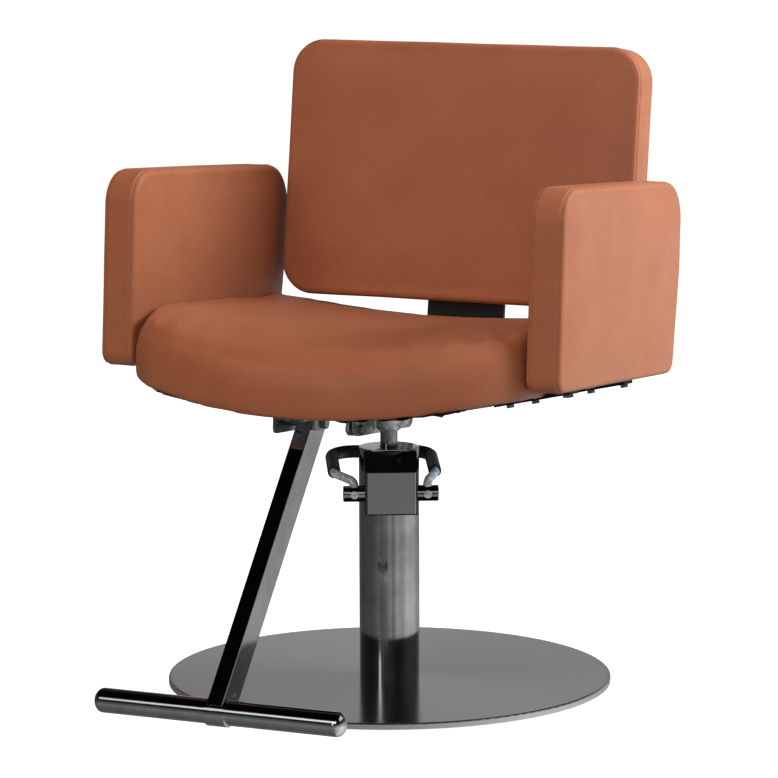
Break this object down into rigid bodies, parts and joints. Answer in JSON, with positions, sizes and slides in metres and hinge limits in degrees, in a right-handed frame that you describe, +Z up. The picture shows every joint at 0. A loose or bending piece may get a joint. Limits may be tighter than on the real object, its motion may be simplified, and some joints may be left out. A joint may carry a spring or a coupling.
{
  "type": "salon styling chair",
  "caption": "Hydraulic salon styling chair: padded seat, arms and back on a swivelling ram, round base plate, pump column with a pedal hoop, and a T-shaped footrest.",
  "frame": {"origin": "on the floor, at the middle of the round base plate, on the swivel axis", "axes": "+Z up along the swivel axis, -Y the way the sitter faces, +X to the sitter's left"},
  "size_m": [0.6752, 0.8435, 0.8638],
  "materials": {
    "black_rubber": "matte moulded rubber",
    "brushed_stainless": "circular brushed stainless",
    "satin_chrome": "chromed tube with a soft polish",
    "polished_chrome": "polished chrome plate",
    "black_enamel": "semi-gloss black enamel",
    "plain_steel": "zinc-plated steel",
    "bronze": "sintered bronze",
    "cast_aluminium": "machined casting",
    "plywood": "bare plywood",
    "terracotta_vinyl": "fine-grained satin vinyl upholstery, terracotta",
    "black_cambric": "non-woven black dust cloth"
  },
  "bodies": {
    "base": {"floor_pad": "black_rubber", "base_plate": "brushed_stainless", "base_screws": "plain_steel", "column_foot": "black_enamel", "column_tube": "satin_chrome", "column_cap": "satin_chrome", "cylinder_barrel": "plain_steel", "ram_guide_bush": "bronze", "ram_wiper_seal": "black_rubber", "pump_head": "black_enamel", "oil_filler_plug": "plain_steel", "pump_cover_plate": "brushed_stainless", "pedal_shaft_bushes": "bronze", "plunger_barrel": "plain_steel", "intake_valve": "plain_steel", "plunger_spring": "plain_steel"},
    "pedal": {"pedal_shaft": "black_enamel", "pedal_rod": "polished_chrome", "pedal_sleeve": "black_rubber", "pedal_set_screws": "plain_steel", "pump_cam": "plain_steel"},
    "plunger": {"plunger": "plain_steel"},
    "ram": {"ram": "polished_chrome", "piston": "cast_aluminium", "piston_seal": "black_rubber", "piston_bolt": "plain_steel", "ram_retaining_ring": "plain_steel", "thrust_washer": "bronze"},
    "seat": {"arm_bolts": "plain_steel", "arm_washers": "plain_steel", "back_board": "plywood", "back_bolts": "plain_steel", "back_cushion": "terracotta_vinyl", "back_strap": "black_enamel", "channel_bolts": "plain_steel", "dust_cover": "black_cambric", "footrest_bar": "polished_chrome", "footrest_bolt": "plain_steel", "footrest_bracket": "polished_chrome", "footrest_bracket_screws": "plain_steel", "footrest_collar": "polished_chrome", "footrest_end_caps": "polished_chrome", "footrest_screw": "plain_steel", "footrest_spacers": "plain_steel", "footrest_strut": "polished_chrome", "hub_bush": "bronze", "left_arm_brackets": "black_enamel", "left_arm_core": "plywood", "left_arm_pad": "terracotta_vinyl", "right_arm_brackets": "black_enamel", "right_arm_core": "plywood", "right_arm_pad": "terracotta_vinyl", "seat_cushion": "terracotta_vinyl", "seat_mount_bolts": "plain_steel", "seat_mount_plate": "black_enamel", "seat_pan": "plywood", "strap_bolts": "plain_steel", "swivel_channel": "polished_chrome", "swivel_hub": "polished_chrome"}
  },
  "joints": [
    {"name": "ram_lift", "type": "slide", "parent": "base", "child": "ram", "axis": [0, 0, 1], "range_m": [0, 0.14]},
    {"name": "seat_swivel", "type": "hinge", "parent": "ram", "child": "seat", "pos_m": [0, 0, 0.36], "axis": [0, 0, 1], "continuous": true},
    {"name": "pedal_pump", "type": "hinge", "parent": "base", "child": "pedal", "pos_m": [0.02066, -0.03885, 0.271], "axis": [-0.8829, -0.4695, 0], "range_deg": [-8, 24], "stiffness_Nm_per_rad": 20, "springref_deg": -0.86},
    {"name": "plunger_slide", "type": "slide", "parent": "base", "child": "plunger", "axis": [0, 0, -1], "range_m": [-0.0022, 0.0065], "deforming": ["plunger_spring"]}
  ],
  "couplings": [
    {"joint": "plunger_slide", "follows": "pedal_pump", "m_per_rad": 0.015}
  ]
}
